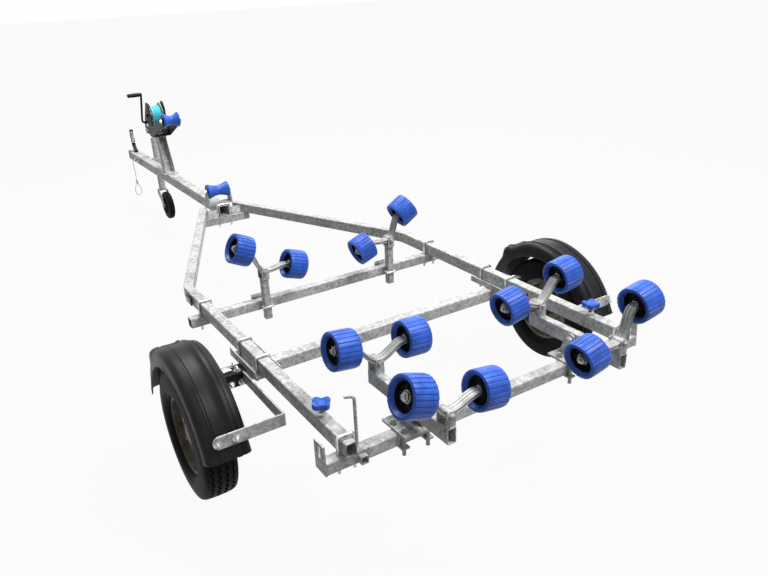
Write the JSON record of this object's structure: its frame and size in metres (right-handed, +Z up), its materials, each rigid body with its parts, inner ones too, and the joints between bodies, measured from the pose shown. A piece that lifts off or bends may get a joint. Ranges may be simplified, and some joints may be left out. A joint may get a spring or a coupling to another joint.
{
  "type": "roller boat trailer",
  "caption": "Single-axle galvanised boat trailer with a bent A-frame, swing cradles of ribbed wobble rollers, keel roller, hand winch post, ball coupling and jockey wheel.",
  "frame": {"origin": "on the floor, on the centreline, halfway between the coupling's nose and the rearmost rollers", "axes": "+Y forwards to the coupling, +X to the trailer's right, +Z up"},
  "size_m": [1.728, 4.491, 0.9582],
  "materials": {
    "galvanised": "hot-dip galvanised steel, spangled, satin",
    "bright_zinc": "bright zinc-plated bolts and clamps",
    "blue_polymer": "blue moulded polyurethane",
    "black_polymer": "black moulded polyethylene, slightly glossy",
    "black_rubber": "black rubber",
    "tyre_rubber": "black tyre rubber",
    "rim_zinc": "galvanised pressed wheel",
    "black_steel": "black coated steel",
    "cyan_webbing": "cyan polyester webbing",
    "wire_rope": "clear-coated wire rope"
  },
  "bodies": {
    "chassis": {"axle_beam": "galvanised", "bow_roller_arms": "galvanised", "breakaway_cable": "wire_rope", "cable_ferrule": "wire_rope", "coupling_body": "galvanised", "cradle_brackets": "galvanised", "drawbar": "galvanised", "frame_u_bolts": "bright_zinc", "front_cross_member": "galvanised", "front_posts": "galvanised", "hook_rod": "galvanised", "jockey_clamp": "galvanised", "keel_bracket": "galvanised", "mudguard_stays": "galvanised", "mudguards": "black_polymer", "nose_cross_bar": "galvanised", "rear_cross_member": "galvanised", "side_rail_left": "galvanised", "side_rail_right": "galvanised", "slide_knobs": "blue_polymer", "suspension_units": "black_steel", "winch_frame": "black_steel", "winch_post": "galvanised"},
    "wheel_left": {"tyre_left": "tyre_rubber", "rim_left": "rim_zinc"},
    "wheel_right": {"tyre_right": "tyre_rubber", "rim_right": "rim_zinc"},
    "cradle_left": {"cradle_left": "galvanised"},
    "cradle_right": {"cradle_right": "galvanised"},
    "keel_roller": {"keel_roller": "blue_polymer"},
    "bow_roller": {"bow_roller": "blue_polymer"},
    "winch_drum": {"winch_drum": "galvanised", "winch_strap": "cyan_webbing"},
    "winch_crank": {"winch_crank": "black_steel", "winch_grip": "black_polymer"},
    "coupling_lever": {"coupling_lever": "black_steel"},
    "jockey_tube": {"jockey_outer_tube": "galvanised"},
    "jockey_leg": {"jockey_leg": "galvanised"},
    "jockey_fork": {"jockey_fork": "galvanised"},
    "jockey_wheel": {"jockey_wheel": "black_rubber"},
    "light_slide_left": {"light_slide_left": "galvanised"},
    "light_slide_right": {"light_slide_right": "galvanised"},
    "arm_front_left": {"arm_front_left": "galvanised"},
    "roller_front_left_inner": {"roller_front_left_inner": "blue_polymer"},
    "roller_front_left_outer": {"roller_front_left_outer": "blue_polymer"},
    "arm_front_right": {"arm_front_right": "galvanised"},
    "roller_front_right_inner": {"roller_front_right_inner": "blue_polymer"},
    "roller_front_right_outer": {"roller_front_right_outer": "blue_polymer"},
    "arm_middle_left": {"arm_middle_left": "galvanised"},
    "roller_middle_left_inner": {"roller_middle_left_inner": "blue_polymer"},
    "roller_middle_left_outer": {"roller_middle_left_outer": "blue_polymer"},
    "arm_middle_right": {"arm_middle_right": "galvanised"},
    "roller_middle_right_inner": {"roller_middle_right_inner": "blue_polymer"},
    "roller_middle_right_outer": {"roller_middle_right_outer": "blue_polymer"},
    "arm_rear_left": {"arm_rear_left": "galvanised"},
    "roller_rear_left_inner": {"roller_rear_left_inner": "blue_polymer"},
    "roller_rear_left_outer": {"roller_rear_left_outer": "blue_polymer"},
    "arm_rear_right": {"arm_rear_right": "galvanised"},
    "roller_rear_right_inner": {"roller_rear_right_inner": "blue_polymer"},
    "roller_rear_right_outer": {"roller_rear_right_outer": "blue_polymer"}
  },
  "joints": [
    {"name": "wheel_spin_left", "type": "hinge", "parent": "chassis", "child": "wheel_left", "pos_m": [-0.799, -1.4595, 0.222], "axis": [1, 0, 0], "continuous": true},
    {"name": "cradle_tilt_left", "type": "hinge", "parent": "chassis", "child": "cradle_left", "pos_m": [-0.333, -2.0155, 0.446], "axis": [1, 0, 0], "range_deg": [-15, 15]},
    {"name": "light_slide_out_left", "type": "slide", "parent": "chassis", "child": "light_slide_left", "axis": [0, -1, 0], "range_m": [0, 0.2]},
    {"name": "wheel_spin_right", "type": "hinge", "parent": "chassis", "child": "wheel_right", "pos_m": [0.799, -1.4595, 0.222], "axis": [1, 0, 0], "continuous": true},
    {"name": "cradle_tilt_right", "type": "hinge", "parent": "chassis", "child": "cradle_right", "pos_m": [0.333, -2.0155, 0.446], "axis": [1, 0, 0], "range_deg": [-15, 15]},
    {"name": "light_slide_out_right", "type": "slide", "parent": "chassis", "child": "light_slide_right", "axis": [0, -1, 0], "range_m": [0, 0.2]},
    {"name": "arm_rock_front_left", "type": "hinge", "parent": "chassis", "child": "arm_front_left", "pos_m": [-0.303, -0.9575, 0.507], "axis": [0, 1, 0], "range_deg": [-65, 11]},
    {"name": "roller_spin_front_left_inner", "type": "hinge", "parent": "arm_front_left", "child": "roller_front_left_inner", "pos_m": [-0.16608, -0.9575, 0.50222], "axis": [0.9483, 0, -0.3173], "continuous": true},
    {"name": "roller_spin_front_left_outer", "type": "hinge", "parent": "arm_front_left", "child": "roller_front_left_outer", "pos_m": [-0.38735, -0.9575, 0.61496], "axis": [-0.9026, 0, 0.4305], "continuous": true},
    {"name": "arm_rock_front_right", "type": "hinge", "parent": "chassis", "child": "arm_front_right", "pos_m": [0.303, -0.9575, 0.507], "axis": [0, -1, 0], "range_deg": [-69, 7]},
    {"name": "roller_spin_front_right_inner", "type": "hinge", "parent": "arm_front_right", "child": "roller_front_right_inner", "pos_m": [0.16675, -0.9575, 0.49268], "axis": [-0.9336, 0, -0.3584], "continuous": true},
    {"name": "roller_spin_front_right_outer", "type": "hinge", "parent": "arm_front_right", "child": "roller_front_right_outer", "pos_m": [0.37961, -0.9575, 0.62058], "axis": [0.8572, 0, 0.515], "continuous": true},
    {"name": "arm_rock_middle_left", "type": "hinge", "parent": "cradle_left", "child": "arm_middle_left", "pos_m": [-0.333, -1.8455, 0.507], "axis": [0, 1, 0], "range_deg": [-46, 30]},
    {"name": "roller_spin_middle_left_inner", "type": "hinge", "parent": "arm_middle_left", "child": "roller_middle_left_inner", "pos_m": [-0.20199, -1.8455, 0.54705], "axis": [0.9981, 0, -0.061], "continuous": true},
    {"name": "roller_spin_middle_left_outer", "type": "hinge", "parent": "arm_middle_left", "child": "roller_middle_left_outer", "pos_m": [-0.4479, -1.8455, 0.58162], "axis": [-0.9914, 0, 0.1305], "continuous": true},
    {"name": "arm_rock_middle_right", "type": "hinge", "parent": "cradle_right", "child": "arm_middle_right", "pos_m": [0.333, -1.8455, 0.507], "axis": [0, -1, 0], "range_deg": [-50, 26]},
    {"name": "roller_spin_middle_right_inner", "type": "hinge", "parent": "arm_middle_right", "child": "roller_middle_right_inner", "pos_m": [0.19951, -1.8455, 0.53782], "axis": [-0.9833, 0, -0.1822], "continuous": true},
    {"name": "roller_spin_middle_right_outer", "type": "hinge", "parent": "arm_middle_right", "child": "roller_middle_right_outer", "pos_m": [0.44241, -1.8455, 0.58945], "axis": [0.9877, 0, 0.1564], "continuous": true},
    {"name": "arm_rock_rear_left", "type": "hinge", "parent": "cradle_left", "child": "arm_rear_left", "pos_m": [-0.333, -2.1855, 0.507], "axis": [0, 1, 0], "range_deg": [-53, 23]},
    {"name": "roller_spin_rear_left_inner", "type": "hinge", "parent": "arm_rear_left", "child": "roller_rear_left_inner", "pos_m": [-0.19808, -2.1855, 0.53079], "axis": [0.989, 0, -0.1478], "continuous": true},
    {"name": "roller_spin_rear_left_outer", "type": "hinge", "parent": "arm_rear_left", "child": "roller_rear_left_outer", "pos_m": [-0.43795, -2.1855, 0.59506], "axis": [-0.9455, 0, 0.3256], "continuous": true},
    {"name": "arm_rock_rear_right", "type": "hinge", "parent": "cradle_right", "child": "arm_rear_right", "pos_m": [0.333, -2.1855, 0.507], "axis": [0, -1, 0], "range_deg": [-66, 10]},
    {"name": "roller_spin_rear_right_inner", "type": "hinge", "parent": "arm_rear_right", "child": "roller_rear_right_inner", "pos_m": [0.19619, -2.1855, 0.49983], "axis": [-0.9799, 0, -0.1994], "continuous": true},
    {"name": "roller_spin_rear_right_outer", "type": "hinge", "parent": "arm_rear_right", "child": "roller_rear_right_outer", "pos_m": [0.41545, -2.1855, 0.61641], "axis": [0.9877, 0, 0.1564], "continuous": true},
    {"name": "keel_roller_spin", "type": "hinge", "parent": "chassis", "child": "keel_roller", "pos_m": [0, 0.3435, 0.509], "axis": [1, 0, 0], "continuous": true},
    {"name": "bow_roller_spin", "type": "hinge", "parent": "chassis", "child": "bow_roller", "pos_m": [0, 1.0465, 0.812], "axis": [1, 0, 0], "continuous": true},
    {"name": "winch_drum_turn", "type": "hinge", "parent": "chassis", "child": "winch_drum", "pos_m": [0, 1.3835, 0.806], "axis": [1, 0, 0], "continuous": true},
    {"name": "winch_crank_turn", "type": "hinge", "parent": "chassis", "child": "winch_crank", "pos_m": [0, 1.4595, 0.752], "axis": [1, 0, 0], "continuous": true},
    {"name": "coupling_lever_lift", "type": "hinge", "parent": "chassis", "child": "coupling_lever", "pos_m": [0, 2.1025, 0.4478], "axis": [-1, 0, 0], "range_deg": [0, 35]},
    {"name": "jockey_clamp_slide", "type": "slide", "parent": "chassis", "child": "jockey_tube", "axis": [0, 0, 1], "range_m": [-0.05, 0.15]},
    {"name": "jockey_screw_slide", "type": "slide", "parent": "jockey_tube", "child": "jockey_leg", "axis": [0, 0, -1], "range_m": [0, 0.15]},
    {"name": "jockey_swivel", "type": "hinge", "parent": "jockey_leg", "child": "jockey_fork", "pos_m": [0.065, 1.7715, 0.212], "axis": [0, 0, 1], "continuous": true},
    {"name": "jockey_wheel_spin", "type": "hinge", "parent": "jockey_fork", "child": "jockey_wheel", "pos_m": [0.065, 1.6875, 0.1], "axis": [1, 0, 0], "continuous": true}
  ],
  "couplings": [
    {"joint": "winch_crank_turn", "follows": "winch_drum_turn", "ratio": -4}
  ]
}
